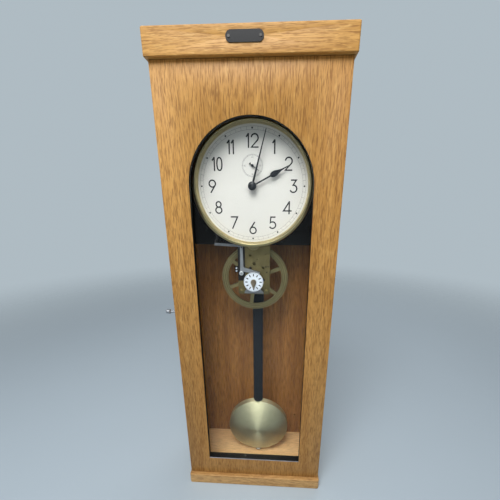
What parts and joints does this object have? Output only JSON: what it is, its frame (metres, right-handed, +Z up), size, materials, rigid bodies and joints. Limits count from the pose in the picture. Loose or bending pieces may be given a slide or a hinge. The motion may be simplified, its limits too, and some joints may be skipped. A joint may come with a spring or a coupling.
{
  "type": "electric master clock",
  "caption": "Electric master clock in an upright oak case with an arched glazed door, white dial, open wheel train and a long pendulum with a lens bob",
  "frame": {"origin": "centre of the underside of the base board, which stands on a level surface", "axes": "+Z up, -Y out of the glazed front, +X to the viewer's right"},
  "size_m": [0.325, 0.152, 0.871],
  "materials": {
    "oak": "waxed open-grain oak",
    "inner_oak": "stained oak, in shade",
    "black_bead": "ebonised wood",
    "black_plate": "gloss black enamel",
    "steel_screw": "turned steel",
    "glass": "clear flat glass",
    "hinge_brass": "drawn brass",
    "zinc_steel": "zinc-plated steel",
    "rubber": "moulded rubber",
    "bakelite": "moulded phenolic",
    "black_enamel": "black stove enamel",
    "plate_brass": "dull grained plate brass",
    "dial_white": "satin white enamel",
    "bezel_brass": "satin brass",
    "movement_brass": "cut and polished brass",
    "arbor_steel": "turned steel",
    "hand_black": "gloss black",
    "setting_silver": "silvered metal",
    "pointer_bronze": "dark bronze",
    "bob_brass": "brushed brass",
    "armature_steel": "soft iron",
    "coil_wrap": "varnished cloth wrap"
  },
  "bodies": {
    "case": {"base_board": "oak", "left_side": "oak", "right_side": "oak", "back_board": "inner_oak", "top_board": "inner_oak", "hood": "oak", "name_plate": "black_plate", "name_plate_screws": "steel_screw", "wall_hanger": "zinc_steel", "cable_bush": "rubber", "terminal_block": "bakelite", "hinge_leaves_case": "hinge_brass", "bracket_panel": "black_enamel", "bracket_bolts": "steel_screw", "plate_pillars": "steel_screw", "plate_screws": "steel_screw", "front_plate": "plate_brass", "back_plate": "plate_brass", "dial_plate": "dial_white", "dial_feet": "steel_screw", "bezel": "bezel_brass", "arbor_cap": "movement_brass", "pivot_studs": "steel_screw", "setting_dial": "setting_silver", "setting_foot": "setting_silver", "contact_block": "bakelite", "contact_studs": "armature_steel", "magnet_coils": "coil_wrap", "magnet_yoke": "armature_steel", "suspension_cock": "black_enamel"},
    "door": {"door_frame": "oak", "door_knob": "setting_silver", "glass_pane": "glass", "glazing_bead": "black_bead", "hinge_leaves_door": "hinge_brass"},
    "minute_group": {"centre_arbor": "arbor_steel", "centre_wheels": "movement_brass", "cannon_pinion": "arbor_steel", "minute_hand": "hand_black"},
    "hour_group": {"hour_wheel": "movement_brass", "hour_hand": "hand_black"},
    "minute_wheel_group": {"minute_wheel": "movement_brass"},
    "idler_group": {"idler_wheel": "movement_brass"},
    "intermediate_group": {"intermediate_wheel": "movement_brass"},
    "great_group": {"great_arbor": "arbor_steel", "great_wheel": "movement_brass", "contact_cam": "movement_brass", "setting_pointer": "pointer_bronze"},
    "third_group": {"third_wheel": "movement_brass"},
    "seconds_group": {"escape_wheel": "movement_brass", "seconds_hand": "hand_black"},
    "crutch_group": {"pallet_arbor": "arbor_steel", "anchor": "arbor_steel"},
    "pendulum_group": {"pendulum_rod": "black_enamel", "bob": "bob_brass", "suspension_spring": "arbor_steel"},
    "nut_group": {"rating_nut": "bob_brass"},
    "lever_group": {"contact_lever": "arbor_steel"},
    "armature_group": {"armature": "pointer_bronze", "armature_bar": "armature_steel"}
  },
  "joints": [
    {"name": "door_hinge", "type": "hinge", "parent": "case", "child": "door", "pos_m": [0.1521, -0.0466, 0.4], "axis": [0, 0, 1], "range_deg": [0, 110]},
    {"name": "minute_turn", "type": "hinge", "parent": "case", "child": "minute_group", "pos_m": [0, -0.017, 0.663], "axis": [0, 1, 0], "continuous": true},
    {"name": "hour_turn", "type": "hinge", "parent": "case", "child": "hour_group", "pos_m": [0, -0.033, 0.663], "axis": [0, 1, 0], "continuous": true},
    {"name": "minute_wheel_turn", "type": "hinge", "parent": "case", "child": "minute_wheel_group", "pos_m": [-0.012, -0.027, 0.663], "axis": [0, 1, 0], "continuous": true},
    {"name": "idler_turn", "type": "hinge", "parent": "case", "child": "idler_group", "pos_m": [0, -0.02, 0.6124], "axis": [0, 1, 0], "continuous": true},
    {"name": "intermediate_turn", "type": "hinge", "parent": "case", "child": "intermediate_group", "pos_m": [0, -0.017, 0.5618], "axis": [0, 1, 0], "continuous": true},
    {"name": "great_turn", "type": "hinge", "parent": "case", "child": "great_group", "pos_m": [0, -0.017, 0.48848], "axis": [0, 1, 0], "continuous": true},
    {"name": "third_turn", "type": "hinge", "parent": "case", "child": "third_group", "pos_m": [0.01435, -0.013, 0.68033], "axis": [0, 1, 0], "continuous": true},
    {"name": "seconds_turn", "type": "hinge", "parent": "case", "child": "seconds_group", "pos_m": [0, -0.017, 0.696], "axis": [0, 1, 0], "continuous": true},
    {"name": "pendulum_swing", "type": "hinge", "parent": "case", "child": "pendulum_group", "pos_m": [0.0055, 0.007, 0.71494], "axis": [0, 1, 0], "range_deg": [-1.6, 1.6]},
    {"name": "crutch_swing", "type": "hinge", "parent": "case", "child": "crutch_group", "pos_m": [0, -0.007, 0.71494], "axis": [0, 1, 0], "range_deg": [-1.6, 1.6]},
    {"name": "rating_nut_turn", "type": "hinge", "parent": "pendulum_group", "child": "nut_group", "pos_m": [0.0055, 0.007, 0.0299], "axis": [0, 0, 1], "continuous": true},
    {"name": "armature_pull", "type": "hinge", "parent": "case", "child": "armature_group", "pos_m": [-0.0735, -0.007, 0.622], "axis": [0, 1, 0], "range_deg": [0, 2.2]},
    {"name": "lever_rock", "type": "hinge", "parent": "case", "child": "lever_group", "pos_m": [-0.024, -0.028, 0.5046], "axis": [0, 1, 0], "range_deg": [-2.64, 0]}
  ],
  "couplings": [
    {"joint": "hour_turn", "follows": "minute_turn", "ratio": 0.083333},
    {"joint": "minute_wheel_turn", "follows": "minute_turn", "ratio": -0.33333},
    {"joint": "idler_turn", "follows": "minute_turn", "ratio": -0.53333},
    {"joint": "intermediate_turn", "follows": "minute_turn", "ratio": 1},
    {"joint": "great_turn", "follows": "minute_turn", "ratio": -0.083333},
    {"joint": "third_turn", "follows": "minute_turn", "ratio": -8},
    {"joint": "seconds_turn", "follows": "minute_turn", "ratio": 60},
    {"joint": "crutch_swing", "follows": "pendulum_swing", "ratio": 1},
    {"joint": "lever_rock", "follows": "armature_pull", "ratio": -1.2}
  ]
}
